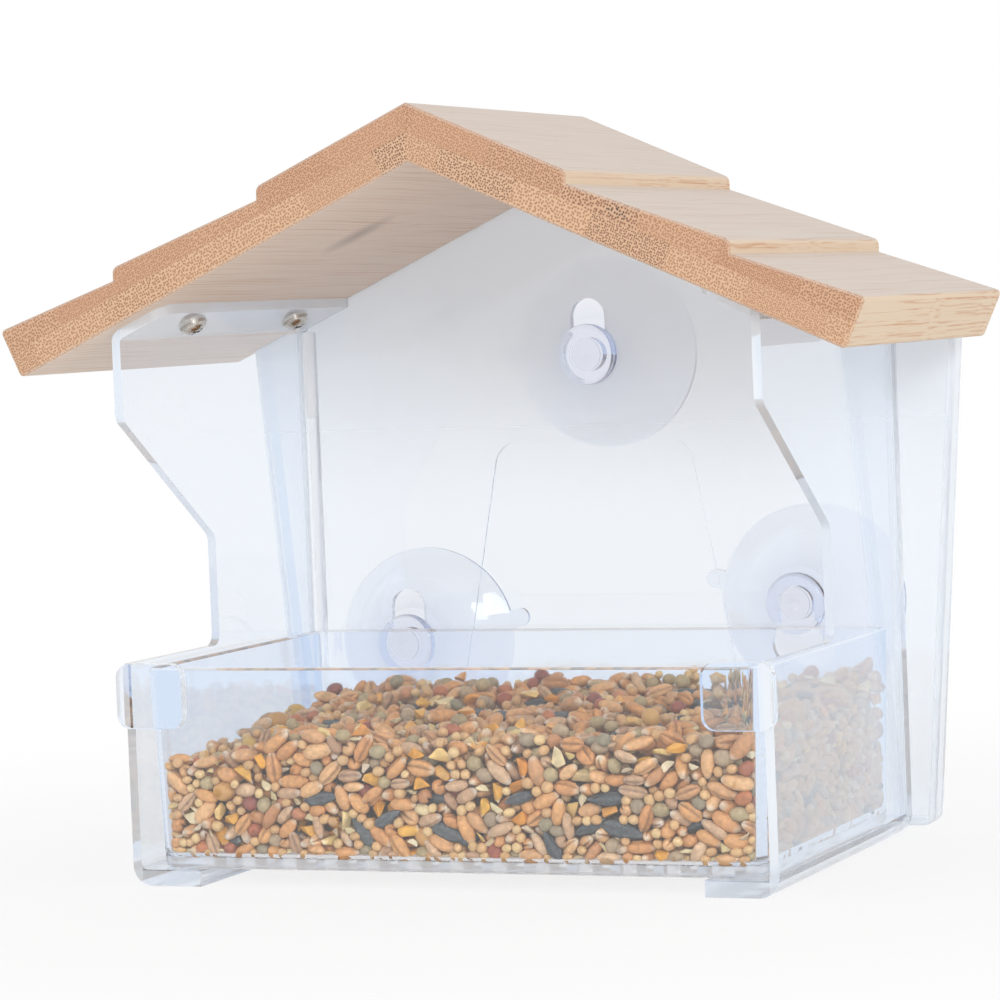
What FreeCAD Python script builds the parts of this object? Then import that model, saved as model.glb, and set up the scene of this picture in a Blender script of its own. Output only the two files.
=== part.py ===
import FreeCAD, Part
import os

import Sketcher
from FreeCAD import Placement, Rotation, Vector

# Window bird feeder: a clear moulded house with a lift-out seed tray, a roof of two stepped
# boards screwed on from below, and three suction cups that hang it on the glass.
# X runs across the front, Y from the front to the glass, Z up. The origin is on the surface
# that the feeder stands on, under the middle of its box.

document = FreeCAD.newDocument("window_bird_feeder")
sheet = document.addObject("Spreadsheet::Sheet", "sizes")

# Driving sizes, in millimetres and degrees
driving_sizes = (
    ("roof_slope", 24.2, "fall of each roof board"),
    ("eave_overhang", 20.0, "boards past the house's sides, at their underside"),
    ("roof_thick", 11.5, "board thickness at the ridge and at each shingle's lower edge"),
    ("roof_depth", 106.1, "boards from front to back"),
    ("ridge_height", 156.7, "inner ridge above the standing surface"),
    ("step_height", 2.6, "drop from one shingle to the next"),
    ("step_upper", 34.2, "first step, along the slope from the inner ridge"),
    ("step_lower", 73.3, "second step, along the slope from the inner ridge"),
    ("step_round", 1.8, "rounding of a shingle's lower edge"),
    ("board_round", 1.1, "rounding of the eave's edges"),
    ("end_ease", 0.5, "bevel sanded along the boards' front and back outline"),
    ("back_overhang", 1.0, "boards past the back of the panel"),
    ("wall", 2.0, "moulded wall of the house and the tray"),
    ("shell_width", 151.0, "house across the outside of its side walls"),
    ("wall_setback", 6.0, "upper front edge of the side walls behind the boards' front"),
    ("rim_height", 49.6, "top of the side walls beside the tray"),
    ("window_rise", 25.4, "sloping edge's lower end above the rim"),
    ("window_head", 19.3, "sloping edge's upper end below the bend under the roof"),
    ("window_reach", 42.8, "side opening from its front to its back edge"),
    ("window_round", 3.0, "rounding of the side opening's corners"),
    ("ledge_width", 16.5, "ledge under the tray, from the house's outside inwards"),
    ("ledge_thick", 3.6, "ledge under the tray"),
    ("ledge_round", 4.5, "outer lower corner of the house"),
    ("flange_width", 13.5, "roof flange from the house's outside inwards"),
    ("flange_round", 4.0, "front inner corner of the roof flange"),
    ("bend_round", 3.0, "outer bend between side wall and roof flange"),
    ("corner_fillet", 1.5, "inner corners of the moulding, at the ledge and the flange"),
    ("back_cove", 2.5, "side wall into the back panel"),
    ("hook_reach", 16.0, "front hook across the tray's corner"),
    ("hook_drop", 14.3, "front hook from the rim down"),
    ("hook_thick", 2.6, "front hook from front to back"),
    ("hook_proud", 1.0, "front hook past the side wall's outside"),
    ("hook_round", 3.0, "corners of the front hook"),
    ("panel_bottom", 1.6, "lower edge of the back panel"),
    ("wing_high", 14.0, "back panel past the house's side, under the roof"),
    ("wing_low", 5.1, "back panel past the house's side, at the bottom"),
    ("skirt_depth", 7.0, "turned-back edge of the back panel, with the panel"),
    ("skirt_wall", 1.8, "turned-back edge's own wall"),
    ("panel_round", 1.6, "rounding of the back panel's front edge"),
    ("relief_depth", 0.7, "sunken field in the back panel"),
    ("relief_drop", 20.3, "sunken field below the upper keyhole's wide end"),
    ("relief_foot", 10.4, "sunken field above the panel's lower edge"),
    ("relief_top_half", 24.1, "half width of the sunken field at its top"),
    ("relief_gap", 10.1, "sunken field's lower corners from the lower keyholes' middles"),
    ("relief_round", 6.0, "corners of the sunken field"),
    ("keyhole_rise", 9.0, "narrow end above the wide end"),
    ("upper_keyhole_drop", 43.6, "wide end of the upper keyhole below the inner ridge"),
    ("lower_keyhole_height", 44.5, "wide end of the lower keyholes"),
    ("lower_keyhole_inset", 26.0, "lower keyholes from the house's outside"),
    ("screw_inset", 7.3, "roof screws from the house's outside"),
    ("screw_front", 30.0, "front screws behind the boards' front"),
    ("screw_back", 22.1, "back screws before the boards' back"),
    ("screw_core", 1.4, "radius of a screw's shank"),
    ("screw_length", 9.0, "screw under its head"),
    ("screw_head", 3.2, "radius of a screw's head"),
    ("screw_crown", 2.1, "height of a screw's head"),
    ("screw_play", 0.2, "room round a screw's shank in the board"),
    ("recess_arm", 1.7, "half length of the cross in a screw's head"),
    ("recess_slit", 0.35, "half width of the cross in a screw's head"),
    ("recess_depth", 1.1, "cross in a screw's head"),
    ("tray_side_gap", 1.5, "room between the tray's rim and the side walls"),
    ("tray_front_gap", 0.8, "room between the tray's rim and the front hooks"),
    ("tray_rim_drop", 1.2, "tray's rim below the side walls' rim"),
    ("tray_draft", 1.5, "each tray wall leans out by this from bottom to rim"),
    ("tray_floor", 2.4, "tray floor"),
    ("tray_corner", 5.0, "upright corners of the tray, outside"),
    ("tray_foot", 1.2, "lower outer edge of the tray"),
    ("tray_cove", 2.0, "tray floor into its walls"),
    ("drain_length", 10.0, "drain slot from front to back"),
    ("drain_width", 3.0, "drain slot across"),
    ("drain_pitch_across", 10.0, "drain slots across the tray"),
    ("drain_pitch_back", 17.0, "drain slots from front to back"),
    ("cup_radius", 22.5, "suction cup at its lip"),
    ("cup_depth", 13.9, "lip behind the back panel's front face"),
    ("cup_body", 15.3, "radius where the thick middle turns into the lip"),
    ("cup_skin", 1.1, "thickness of the lip"),
    ("cup_shoulder", 8.5, "radius of the cup's shoulder behind the panel"),
    ("cup_neck", 4.0, "radius of the neck in the keyhole"),
    ("neck_play", 0.3, "room round the neck in the keyhole's narrow end"),
    ("cup_play", 0.3, "room between the cup and the panel's two faces"),
    ("knob_radius", 7.25, "radius of the cup's knob"),
    ("knob_thick", 2.6, "knob from front to back"),
    ("knob_hold", 1.0, "knob past the edge of the keyhole's wide end"),
    ("knob_round", 1.2, "rounding of the knob's front edge"),
    ("knob_face", 3.9, "radius of the raised disc on the knob's front"),
    ("knob_step", 0.5, "height of the raised disc on the knob's front"),
    ("knob_dimple", 1.7, "radius of the dimple in the knob's front"),
    ("knob_gap", 0.4, "room between the knobs and the tray's rim"),
    ("tab_half", 2.2, "half width of a cup's pull tab"),
    ("tab_reach", 4.5, "pull tab past the lip"),
)
for row, (alias, value, meaning) in enumerate(driving_sizes, start=1):
    sheet.set(f"A{row}", meaning)
    sheet.set(f"B{row}", str(value))
    sheet.setAlias(f"B{row}", alias)
document.recompute()

# Places worked out from the driving sizes, as expressions
SLOPE = "(sizes.roof_slope * 1deg)"
SHELL_HALF = "(sizes.shell_width / 2)"
ROOF_RUN = f"(({SHELL_HALF} + sizes.eave_overhang) / cos({SLOPE}))"
ROOF_FRONT = "(-(sizes.roof_depth - sizes.back_overhang - sizes.wall + sizes.cup_depth) / 2)"
WALL_INSIDE = f"({SHELL_HALF} - sizes.wall)"
FLANGE_INSIDE = f"({SHELL_HALF} - sizes.flange_width)"
WALL_FRONT = f"({ROOF_FRONT} + sizes.wall_setback)"
HOOK_BACK = f"({WALL_FRONT} - sizes.tray_front_gap)"
PANEL_FRONT = f"({ROOF_FRONT} + sizes.roof_depth - sizes.back_overhang - sizes.wall)"
WINDOW_BACK = f"({WALL_FRONT} + sizes.window_reach)"
WINDOW_LOW = "(sizes.rim_height + sizes.window_rise)"
UPPER_KEYHOLE = "(sizes.ridge_height - sizes.upper_keyhole_drop)"
LOWER_KEYHOLE = f"({SHELL_HALF} - sizes.lower_keyhole_inset)"
SCREW_RUN = f"(({SHELL_HALF} - sizes.screw_inset) / cos({SLOPE}))"
SCREW_FRONT = f"({ROOF_FRONT} + sizes.screw_front)"
SCREW_BACK = f"({ROOF_FRONT} + sizes.roof_depth - sizes.screw_back)"
ROOF_MIDDLE = f"({ROOF_FRONT} + sizes.roof_depth / 2)"
TRAY_HALF = f"({WALL_INSIDE} - sizes.tray_side_gap)"
TRAY_FRONT = WALL_FRONT
TRAY_BACK = f"({PANEL_FRONT} - sizes.cup_play - sizes.knob_thick - sizes.knob_gap)"
TRAY_RIM = "(sizes.rim_height - sizes.tray_rim_drop)"

SAME = 0.01


def underside(x):
    """Height of the roof boards' underside at a distance from the middle."""
    return f"(sizes.ridge_height - ({x}) * tan({SLOPE}))"


WINDOW_HIGH = f"({underside(SHELL_HALF)} - sizes.window_head)"


def origin_plane(body, role):
    return next(feature for feature in body.Origin.OriginFeatures if feature.Role == role)


def new_body(label):
    body = document.addObject("PartDesign::Body", label)
    body.Label = label
    return body


def new_sketch(body, role, name, lift=None):
    """Sketch on one of the body's own planes, moved along the plane's normal by lift."""
    sketch = body.newObject("Sketcher::SketchObject", f"{body.Label}_{name}")
    sketch.AttachmentSupport = [(origin_plane(body, role), "")]
    sketch.MapMode = "FlatFace"
    if lift is not None:
        sketch.setExpression("AttachmentOffset.Base.z", lift)
    return sketch


def number(sketch, expression):
    return float(sketch.evalExpression(expression))


def arc_middle(start, end, radius):
    """Point halfway along an arc that turns left for a positive radius."""
    chord = end - start
    half = chord.Length / 2
    middle = (start + end) * 0.5
    leftward = Vector(-chord.y, chord.x, 0).normalize()
    sagitta = abs(radius) - (radius * radius - half * half) ** 0.5
    side = -1 if radius > 0 else 1
    return middle + leftward * (side * sagitta)


def draw_outline(sketch, steps):
    """Closed outline. A step (x, y) is a straight run to that point, and (x, y, radius) is an arc."""
    points = [Vector(number(sketch, step[0]), number(sketch, step[1]), 0) for step in steps]
    ends = []
    for index, step in enumerate(steps):
        start = points[index - 1]
        end = points[index]
        if len(step) == 2:
            curve = Part.LineSegment(start, end)
        else:
            curve = Part.ArcOfCircle(start, arc_middle(start, end, number(sketch, step[2])), end)
        piece = sketch.addGeometry(curve)
        begins_at_start = sketch.getPoint(piece, 1).isEqual(start, SAME)
        ends.append((piece, 1, 2) if begins_at_start else (piece, 2, 1))
    for index, step in enumerate(steps):
        piece, first, last = ends[index]
        following = ends[(index + 1) % len(steps)]
        sketch.addConstraint(Sketcher.Constraint("Coincident", piece, last, following[0], following[1]))
        for kind, expression in (("DistanceX", step[0]), ("DistanceY", step[1])):
            place = number(sketch, expression)
            bound = sketch.addConstraint(Sketcher.Constraint(kind, -1, 1, piece, last, place))
            sketch.setExpression(f"Constraints[{bound}]", expression)
        if len(step) == 3:
            radius = f"abs({step[2]})"
            bound = sketch.addConstraint(Sketcher.Constraint("Radius", piece, number(sketch, radius)))
            sketch.setExpression(f"Constraints[{bound}]", radius)


def draw_circle(sketch, x, y, radius):
    centre = Vector(number(sketch, x), number(sketch, y), 0)
    piece = sketch.addGeometry(Part.Circle(centre, Vector(0, 0, 1), number(sketch, radius)))
    for constraint, expression in (
        (Sketcher.Constraint("DistanceX", -1, 1, piece, 3, centre.x), x),
        (Sketcher.Constraint("DistanceY", -1, 1, piece, 3, centre.y), y),
        (Sketcher.Constraint("Radius", piece, number(sketch, radius)), radius),
    ):
        bound = sketch.addConstraint(constraint)
        sketch.setExpression(f"Constraints[{bound}]", expression)


def rectangle(low_x, low_y, high_x, high_y):
    return [(high_x, low_y), (high_x, high_y), (low_x, high_y), (low_x, low_y)]


def rounded_rectangle(low_x, low_y, high_x, high_y, radius):
    return [
        (f"{high_x} - {radius}", low_y),
        (high_x, f"{low_y} + {radius}", radius),
        (high_x, f"{high_y} - {radius}"),
        (f"{high_x} - {radius}", high_y, radius),
        (f"{low_x} + {radius}", high_y),
        (low_x, f"{high_y} - {radius}", radius),
        (low_x, f"{low_y} + {radius}"),
        (f"{low_x} + {radius}", low_y, radius),
    ]


def pad(sketch, name, length, backwards=False):
    body = sketch.getParentGeoFeatureGroup()
    feature = body.newObject("PartDesign::Pad", f"{body.Label}_{name}")
    feature.Profile = sketch
    feature.setExpression("Length", length)
    feature.Reversed = backwards
    document.recompute()
    return feature


def pocket(sketch, name, depth, backwards=False):
    """Pocket that has to take something away."""
    body = sketch.getParentGeoFeatureGroup()
    before = body.Shape.Volume
    feature = body.newObject("PartDesign::Pocket", f"{body.Label}_{name}")
    feature.Profile = sketch
    feature.setExpression("Length", depth)
    feature.Reversed = backwards
    document.recompute()
    if body.Shape.Volume > before - SAME:
        raise RuntimeError(f"{feature.Name} cuts nothing")
    return feature


def revolve(sketch, name):
    """Full turn about the sketch's upright axis."""
    body = sketch.getParentGeoFeatureGroup()
    feature = body.newObject("PartDesign::Revolution", f"{body.Label}_{name}")
    feature.Profile = sketch
    feature.ReferenceAxis = (sketch, ["V_Axis"])
    feature.Angle = 360
    document.recompute()
    return feature


def runs_along(edge, direction):
    if edge.Curve.TypeId != "Part::GeomLine":
        return False
    return abs(edge.tangentAt(edge.FirstParameter).dot(direction)) > 1 - SAME


def dress_edges(body, kind, name, size, value, wanted):
    """Rounds or bevels every edge of the body's last feature that the test wants."""
    base = body.Tip
    picked = [f"Edge{i}" for i, edge in enumerate(base.Shape.Edges, start=1) if wanted(edge)]
    if not picked:
        raise RuntimeError(f"{body.Label}_{name} finds no edge")
    feature = body.newObject(kind, f"{body.Label}_{name}")
    feature.Base = (base, picked)
    feature.setExpression(size, value)
    document.recompute()
    if "Invalid" in feature.State:
        raise RuntimeError(f"{feature.Name} can't be made")


def fillet(body, name, radius, wanted):
    dress_edges(body, "PartDesign::Fillet", name, "Radius", radius, wanted)


def bevel(body, name, width, wanted):
    dress_edges(body, "PartDesign::Chamfer", name, "Size", width, wanted)


ALONG_X = Vector(1, 0, 0)
ALONG_Y = Vector(0, 1, 0)


def at(edge, x=None, y=None, z=None):
    """True where the middle of an edge lies at the given places, on either side of the middle plane."""
    middle = edge.CenterOfMass
    for found, place in ((abs(middle.x), x), (middle.y, y), (middle.z, z)):
        if place is not None and abs(found - number(sheet, place)) > SAME:
            return False
    return True


# Roof boards: stepped like three rows of shingles, mitred at the ridge
def roof_board(label, side):
    body = new_body(label)
    top = "sizes.roof_thick"
    foot = "(sizes.roof_thick - sizes.step_height)"
    lean = f"(sizes.step_height * tan({SLOPE}))"
    mitre = f"({top} * tan({SLOPE}))"
    corners = (
        ("0", "0"),
        (ROOF_RUN, "0"),
        (ROOF_RUN, top),
        (f"sizes.step_lower + {lean}", foot),
        ("sizes.step_lower", top),
        (f"sizes.step_upper + {lean}", foot),
        ("sizes.step_upper", top),
        (f"-{mitre}", top),
    )
    profile = new_sketch(body, "XZ_Plane", "profile")
    draw_outline(profile, [(f"{side} * ({along})", up) for along, up in corners])
    slab = pad(profile, "slab", "sizes.roof_depth")
    slab.Midplane = True
    document.recompute()
    for name, radius, along, up in (
        ("upper_lip", "sizes.step_round", "sizes.step_upper", top),
        ("lower_lip", "sizes.step_round", "sizes.step_lower", top),
        ("eave_top", "sizes.board_round", ROOF_RUN, top),
        ("eave_bottom", "sizes.board_round", ROOF_RUN, "0"),
    ):
        fillet(body, name, radius, lambda edge: runs_along(edge, ALONG_Y) and at(edge, x=along, z=up))
    for name, end in (("front_end", "-sizes.roof_depth / 2"), ("back_end", "sizes.roof_depth / 2")):
        bevel(body, name, "sizes.end_ease",
              lambda edge: at(edge, y=end) and not at(edge, x=f"{mitre} / 2", z=f"{top} / 2"))
    holes = new_sketch(body, "XY_Plane", "screw_holes")
    for place in (SCREW_FRONT, SCREW_BACK):
        draw_circle(holes, f"{side} * {SCREW_RUN}", f"{place} - {ROOF_MIDDLE}",
                    "sizes.screw_core + sizes.screw_play")
    pocket(holes, "screw_bores", "sizes.screw_length - sizes.wall + sizes.screw_play", backwards=True)
    body.Placement = Placement(Vector(0, 0, 0), Rotation(ALONG_Y, 1))
    body.setExpression("Placement.Base.y", ROOF_MIDDLE)
    body.setExpression("Placement.Base.z", "sizes.ridge_height")
    body.setExpression("Placement.Rotation.Angle", f"{side} * sizes.roof_slope")
    return body


# Roof screws: pan heads under the flanges, shanks up into the boards
def roof_screw(label, side, place):
    body = new_body(label)
    profile = new_sketch(body, "XZ_Plane", "profile")
    tip = "(sizes.screw_length - sizes.screw_core)"
    draw_outline(profile, [
        ("0", "-sizes.screw_crown"),
        ("sizes.screw_head / 2", "-sizes.screw_crown"),
        ("sizes.screw_head", "-sizes.screw_crown / 3", "sizes.screw_head"),
        ("sizes.screw_head", "0"),
        ("sizes.screw_core", "0"),
        ("sizes.screw_core", tip),
        ("0", "sizes.screw_length"),
    ])
    revolve(profile, "turned")
    cross = new_sketch(body, "XY_Plane", "cross", "-sizes.screw_crown")
    slit = "sizes.recess_slit"
    arm = "sizes.recess_arm"
    quarter = ((slit, slit), (slit, arm), (f"-{slit}", arm))
    turned = list(quarter)
    for _ in range(3):
        quarter = [(f"-({y})", x) for x, y in quarter]
        turned.extend(quarter)
    draw_outline(cross, turned)
    pocket(cross, "recess", "sizes.recess_depth", backwards=True)
    body.Placement = Placement(Vector(0, 0, 0), Rotation(ALONG_Y, 1))
    across = f"({SCREW_RUN} * cos({SLOPE}) - sizes.wall * sin({SLOPE}))"
    height = f"(sizes.ridge_height - {SCREW_RUN} * sin({SLOPE}) - sizes.wall * cos({SLOPE}))"
    body.setExpression("Placement.Base.x", f"{side} * {across}")
    body.setExpression("Placement.Base.y", place)
    body.setExpression("Placement.Base.z", height)
    body.setExpression("Placement.Rotation.Angle", f"{side} * sizes.roof_slope")
    return body


# House shell: one clear moulding of back panel, side walls, ledges, flanges and hooks
def back_panel(body):
    low_half = f"({SHELL_HALF} + sizes.wing_low)"
    high_half = f"({SHELL_HALF} + sizes.wing_high)"
    shoulder = underside(high_half)
    outline = new_sketch(body, "XZ_Plane", "panel_outline", f"-{PANEL_FRONT}")
    draw_outline(outline, [
        (low_half, "sizes.panel_bottom"),
        (high_half, shoulder),
        ("0", "sizes.ridge_height"),
        (f"-{high_half}", shoulder),
        (f"-{low_half}", "sizes.panel_bottom"),
    ])
    pad(outline, "panel", "sizes.skirt_depth", backwards=True)
    fillet(body, "panel_corners", "2 * sizes.panel_round",
           lambda edge: runs_along(edge, ALONG_Y) and at(edge, x=low_half, z="sizes.panel_bottom"))
    fillet(body, "panel_edge", "sizes.panel_round",
           lambda edge: at(edge, y=PANEL_FRONT) and edge.CenterOfMass.z < number(sheet, shoulder) - SAME)
    hollow = new_sketch(body, "XZ_Plane", "panel_hollow", f"-({PANEL_FRONT} + sizes.skirt_depth)")
    inner_low = f"({low_half} - sizes.skirt_wall)"
    inner_high = f"({high_half} - sizes.skirt_wall)"
    inner_bottom = "(sizes.panel_bottom + sizes.skirt_wall)"
    above_ridge = "(sizes.ridge_height + sizes.skirt_depth)"
    draw_outline(hollow, [
        (inner_low, inner_bottom),
        (inner_high, shoulder),
        (inner_high, above_ridge),
        (f"-{inner_high}", above_ridge),
        (f"-{inner_high}", shoulder),
        (f"-{inner_low}", inner_bottom),
    ])
    pocket(hollow, "panel_back", "sizes.skirt_depth - sizes.wall", backwards=True)
    field = new_sketch(body, "XZ_Plane", "relief", f"-{PANEL_FRONT}")
    field_bottom = "(sizes.panel_bottom + sizes.relief_foot)"
    field_top = f"({UPPER_KEYHOLE} - sizes.relief_drop)"
    field_low_half = f"({LOWER_KEYHOLE} - sizes.relief_gap)"
    draw_outline(field, [
        (field_low_half, field_bottom),
        ("sizes.relief_top_half", field_top),
        ("-sizes.relief_top_half", field_top),
        (f"-{field_low_half}", field_bottom),
    ])
    pocket(field, "sunken_field", "sizes.relief_depth")
    field_middle = f"({PANEL_FRONT} + sizes.relief_depth / 2)"
    fillet(body, "field_corners", "sizes.relief_round",
           lambda edge: runs_along(edge, ALONG_Y) and at(edge, y=field_middle))
    holes = new_sketch(body, "XZ_Plane", "keyholes", f"-{PANEL_FRONT}")
    for across, height in (
        ("0", UPPER_KEYHOLE),
        (LOWER_KEYHOLE, "sizes.lower_keyhole_height"),
        (f"-{LOWER_KEYHOLE}", "sizes.lower_keyhole_height"),
    ):
        draw_outline(holes, keyhole(across, height))
    pocket(holes, "keyhole_cuts", "2 * sizes.wall")


def keyhole(across, height):
    """Wide round end below, narrow slot above."""
    slot = "(sizes.cup_neck + sizes.neck_play)"
    entry = "(sizes.knob_radius - sizes.knob_hold)"
    waist = f"({height} + sqrt({entry} * {entry} - {slot} * {slot}))"
    crown = f"({height} + sizes.keyhole_rise)"
    return [
        (f"{across}", f"{height} - {entry}", entry),
        (f"{across} + {slot}", waist, entry),
        (f"{across} + {slot}", crown),
        (f"{across}", f"{crown} + {slot}", slot),
        (f"{across} - {slot}", crown, slot),
        (f"{across} - {slot}", waist),
    ]


def side_section():
    """Ledge, side wall and roof flange as one bent strip, seen from the front."""
    ledge_inside = f"({SHELL_HALF} - sizes.ledge_width)"
    flange_drop = f"(sizes.wall / cos({SLOPE}))"
    half_turn = f"tan((90deg - {SLOPE}) / 2)"
    outer = "sizes.bend_round"
    inner = "sizes.corner_fillet"
    outer_run = f"({outer} * {half_turn})"
    inner_run = f"({inner} * {half_turn})"
    outer_corner = underside(SHELL_HALF)
    inner_corner = f"({underside(WALL_INSIDE)} - {flange_drop})"
    return [
        (f"{SHELL_HALF} - sizes.ledge_round", "0"),
        (SHELL_HALF, "sizes.ledge_round", "sizes.ledge_round"),
        (SHELL_HALF, f"{outer_corner} - {outer_run}"),
        (f"{SHELL_HALF} - {outer_run} * cos({SLOPE})", f"{outer_corner} + {outer_run} * sin({SLOPE})", outer),
        (FLANGE_INSIDE, underside(FLANGE_INSIDE)),
        (FLANGE_INSIDE, f"{underside(FLANGE_INSIDE)} - {flange_drop}"),
        (f"{WALL_INSIDE} - {inner_run} * cos({SLOPE})", f"{inner_corner} + {inner_run} * sin({SLOPE})"),
        (WALL_INSIDE, f"{inner_corner} - {inner_run}", f"-{inner}"),
        (WALL_INSIDE, f"sizes.ledge_thick + {inner}"),
        (f"{WALL_INSIDE} - {inner}", "sizes.ledge_thick", f"-{inner}"),
        (ledge_inside, "sizes.ledge_thick"),
        (ledge_inside, "0"),
    ]


def side_opening():
    """Cut in a side wall, from the tray's rim up to the sloping edge and on past the flange's front."""
    ahead = f"({HOOK_BACK} - sizes.wall)"
    above = "(sizes.ridge_height + sizes.wall)"
    curve = "sizes.window_round"
    return [
        (f"{WINDOW_BACK} - {curve}", "sizes.rim_height"),
        (WINDOW_BACK, f"sizes.rim_height + {curve}", curve),
        (WINDOW_BACK, WINDOW_LOW),
        (WALL_FRONT, WINDOW_HIGH),
        (WALL_FRONT, above),
        (ahead, above),
        (ahead, "sizes.rim_height"),
    ]


def right_side(body):
    """Bent strip with its side opening and rounded heel, screw holes in the flange, and front hook."""
    section = new_sketch(body, "XZ_Plane", "side_section", f"-{HOOK_BACK}")
    draw_outline(section, side_section())
    strip = pad(section, "side", f"{PANEL_FRONT} - {HOOK_BACK}", backwards=True)
    opening = new_sketch(body, "YZ_Plane", "side_opening")
    draw_outline(opening, side_opening())
    window = pocket(opening, "window", "sizes.shell_width", backwards=True)
    heel_corner = new_sketch(body, "YZ_Plane", "heel_corner")
    heel = "sizes.ledge_round"
    draw_outline(heel_corner, [
        (PANEL_FRONT, "0"),
        (PANEL_FRONT, heel),
        (f"{PANEL_FRONT} - {heel}", "0", f"-{heel}"),
    ])
    rounded_heel = pocket(heel_corner, "heel", "sizes.shell_width", backwards=True)
    cove_section = new_sketch(body, "XY_Plane", "cove_section", heel)
    cove = "sizes.back_cove"
    draw_outline(cove_section, [
        (WALL_INSIDE, PANEL_FRONT),
        (f"{WALL_INSIDE} - {cove}", PANEL_FRONT),
        (WALL_INSIDE, f"{PANEL_FRONT} - {cove}", cove),
    ])
    back_cove = pad(cove_section, "back_cove", f"{underside(SHELL_HALF)} - sizes.wall - {heel}")
    hook_outside = f"({SHELL_HALF} + sizes.hook_proud)"
    hook_outline = new_sketch(body, "XZ_Plane", "hook_outline", f"-({HOOK_BACK} - sizes.hook_thick)")
    draw_outline(hook_outline, rounded_rectangle(
        f"({hook_outside} - sizes.hook_reach)", "(sizes.rim_height - sizes.hook_drop)",
        hook_outside, "sizes.rim_height", "sizes.hook_round"))
    hook = pad(hook_outline, "hook", "sizes.hook_thick", backwards=True)
    holes = new_sketch(body, "XY_Plane", "flange_holes")
    holes.AttachmentOffset = Placement(Vector(0, 0, 0), Rotation(ALONG_Y, 1))
    holes.setExpression("AttachmentOffset.Base.z", "sizes.ridge_height")
    holes.setExpression("AttachmentOffset.Rotation.Angle", "sizes.roof_slope")
    for place in (SCREW_FRONT, SCREW_BACK):
        draw_circle(holes, SCREW_RUN, place, "sizes.screw_core + 2 * sizes.screw_play")
    bores = pocket(holes, "flange_bores", "2 * sizes.wall")
    return [strip, window, rounded_heel, back_cove, hook, bores]


def house_shell():
    body = new_body("house_shell")
    back_panel(body)
    sides = right_side(body)
    both = body.newObject("PartDesign::Mirrored", "house_shell_both_sides")
    both.Originals = sides
    both.MirrorPlane = (origin_plane(body, "YZ_Plane"), [""])
    body.Tip = both
    document.recompute()
    for name, y, z in (
        ("window_upper", WALL_FRONT, WINDOW_HIGH),
        ("window_lower", WINDOW_BACK, WINDOW_LOW),
    ):
        fillet(body, name, "sizes.window_round",
               lambda edge: runs_along(edge, ALONG_X) and at(edge, y=y, z=z))
    fillet(body, "flange_corner", "sizes.flange_round",
           lambda edge: at(edge, x=FLANGE_INSIDE, y=WALL_FRONT))
    return body


# Seed tray: drafted box with a slotted floor, lifted out over the front hooks
def seed_tray():
    body = new_body("seed_tray")
    floor_top = "(sizes.ledge_thick + sizes.tray_floor)"
    inner_corner = "(sizes.tray_corner - sizes.wall)"

    def ring(name, height, inset, radius):
        sketch = new_sketch(body, "XY_Plane", name, height)
        draw_outline(sketch, rounded_rectangle(
            f"(-{TRAY_HALF} + {inset})", f"({TRAY_FRONT} + {inset})",
            f"({TRAY_HALF} - {inset})", f"({TRAY_BACK} - {inset})", radius))
        return sketch

    lean = f"atan(sizes.tray_draft / ({TRAY_RIM} - sizes.ledge_thick))"
    foot_ring = ring("foot_ring", "sizes.ledge_thick", "sizes.tray_draft", "sizes.tray_corner")
    outside = pad(foot_ring, "outside", f"{TRAY_RIM} - sizes.ledge_thick")
    outside.setExpression("TaperAngle", lean)
    document.recompute()
    fillet(body, "foot", "sizes.tray_foot", lambda edge: at(edge, z="sizes.ledge_thick"))
    mouth_ring = ring("mouth_ring", TRAY_RIM, "sizes.wall", inner_corner)
    hollow = pocket(mouth_ring, "hollow", f"{TRAY_RIM} - {floor_top}")
    hollow.setExpression("TaperAngle", f"-{lean}")
    document.recompute()
    fillet(body, "cove", "sizes.tray_cove", lambda edge: at(edge, z=floor_top))
    bevel(body, "rim", "sizes.wall / 4", lambda edge: at(edge, z=TRAY_RIM))
    drain_floor(body, floor_top)
    return body


def drain_floor(body, floor_top):
    """Rows of slots that let rain out of the seed, as many as the flat floor takes."""
    flat_half = f"({TRAY_HALF} - sizes.tray_draft - sizes.wall - sizes.tray_cove)"
    flat_depth = f"({TRAY_BACK} - {TRAY_FRONT} - 2 * (sizes.tray_draft + sizes.wall + sizes.tray_cove))"
    across = int(2 * (number(sheet, flat_half) - number(sheet, "sizes.drain_width"))
                 / number(sheet, "sizes.drain_pitch_across")) + 1
    rows = int((number(sheet, flat_depth) - number(sheet, "sizes.drain_length"))
               / number(sheet, "sizes.drain_pitch_back")) + 1
    first_x = f"({(1 - across) / 2} * sizes.drain_pitch_across)"
    first_y = f"(({TRAY_FRONT} + {TRAY_BACK}) / 2 + {(1 - rows) / 2} * sizes.drain_pitch_back)"
    slot = new_sketch(body, "XY_Plane", "drain_slot", floor_top)
    draw_outline(slot, rectangle(
        f"{first_x} - sizes.drain_width / 2", f"{first_y} - sizes.drain_length / 2",
        f"{first_x} + sizes.drain_width / 2", f"{first_y} + sizes.drain_length / 2"))
    cut = pocket(slot, "drain", "2 * sizes.tray_floor")
    grid = body.newObject("PartDesign::MultiTransform", "seed_tray_drain_grid")
    grid.Originals = [cut]
    patterns = []
    for name, axis, count, pitch in (
        ("across", "H_Axis", across, "sizes.drain_pitch_across"),
        ("back", "V_Axis", rows, "sizes.drain_pitch_back"),
    ):
        pattern = body.newObject("PartDesign::LinearPattern", f"seed_tray_drain_{name}")
        pattern.Direction = (slot, [axis])
        pattern.Occurrences = count
        pattern.setExpression("Length", f"{count - 1} * {pitch}")
        patterns.append(pattern)
    grid.Transformations = patterns
    body.Tip = grid
    document.recompute()


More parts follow.
